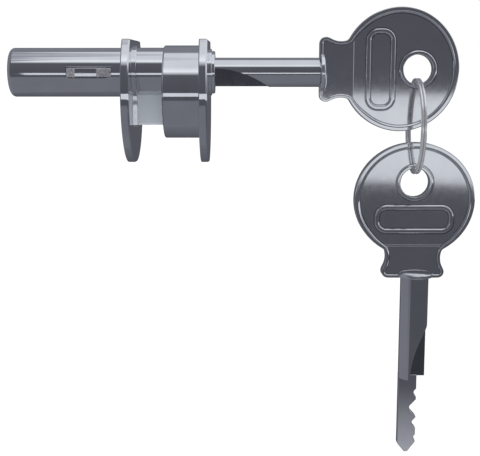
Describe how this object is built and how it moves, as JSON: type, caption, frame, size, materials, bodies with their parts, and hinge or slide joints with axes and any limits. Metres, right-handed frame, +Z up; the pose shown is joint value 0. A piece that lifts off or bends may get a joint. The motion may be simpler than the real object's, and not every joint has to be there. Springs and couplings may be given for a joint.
{
  "type": "plunger lock",
  "caption": "Nickel-plated plunger lock for sliding cabinet doors: flanged drum, clamping rear plate, sprung plunger with a locking lug, keyed cylinder, and keys on a split ring.",
  "frame": {"origin": "on the drum's axis, in the plane where the front flange seats on the panel", "axes": "+X along the drum and the plunger towards the keys, +Z up towards the flat of the flanges, +Y to the left as seen from the key side"},
  "size_m": [0.0968, 0.029, 0.0955],
  "materials": {
    "nickel_case": "bright nickel plate on die-cast zinc",
    "nickel_key": "bright nickel plate, softly rounded casting",
    "ring_steel": "bright plated spring wire",
    "polished_steel": "ground steel with worn edges",
    "cylinder_brass": "turned brass",
    "spring_steel": "oil-tempered spring wire"
  },
  "bodies": {
    "housing": {"lock_body": "nickel_case", "rear_plate": "nickel_case", "plate_screw": "polished_steel", "return_spring": "spring_steel"},
    "plunger": {"plunger_sleeve": "nickel_case", "nose_cap": "nickel_case", "guide_pin": "polished_steel", "lug_spring": "spring_steel", "tail_bush": "cylinder_brass"},
    "lug": {"locking_lug": "polished_steel"},
    "cylinder": {"plug": "cylinder_brass", "cam_spindle": "cylinder_brass", "wafer_1": "cylinder_brass", "wafer_2": "cylinder_brass", "wafer_3": "cylinder_brass", "wafer_4": "cylinder_brass", "wafer_spring_1": "spring_steel", "wafer_spring_2": "spring_steel", "wafer_spring_3": "spring_steel", "wafer_spring_4": "spring_steel"},
    "first_key": {"key_1": "nickel_key"},
    "ring": {"key_ring": "ring_steel"},
    "second_key": {"key_2": "nickel_key"}
  },
  "joints": [
    {"name": "plunger_slide", "type": "slide", "parent": "housing", "child": "plunger", "axis": [1, 0, 0], "range_m": [0, 0.008], "deforming": ["return_spring"]},
    {"name": "lug_slide", "type": "slide", "parent": "plunger", "child": "lug", "axis": [0, 1, 0], "range_m": [0, 0.00072], "deforming": ["lug_spring"]},
    {"name": "plug_turn", "type": "hinge", "parent": "plunger", "child": "cylinder", "pos_m": [0, 0, 0.004], "axis": [-1, 0, 0], "range_deg": [0, 90]},
    {"name": "key_withdraw", "type": "slide", "parent": "cylinder", "child": "first_key", "axis": [1, 0, 0], "range_m": [0, 0.02]},
    {"name": "ring_swing", "type": "hinge", "parent": "first_key", "child": "ring", "pos_m": [0.04485, 0, -0.00298], "axis": [1, 0, 0], "range_deg": [-90, 90]},
    {"name": "key_2_swing", "type": "hinge", "parent": "ring", "child": "second_key", "pos_m": [0.04485, 0, -0.01315], "axis": [-1, 0, 0], "range_deg": [-70, 70]}
  ],
  "couplings": [
    {"joint": "lug_slide", "follows": "plunger_slide", "ratio": 0.09}
  ]
}
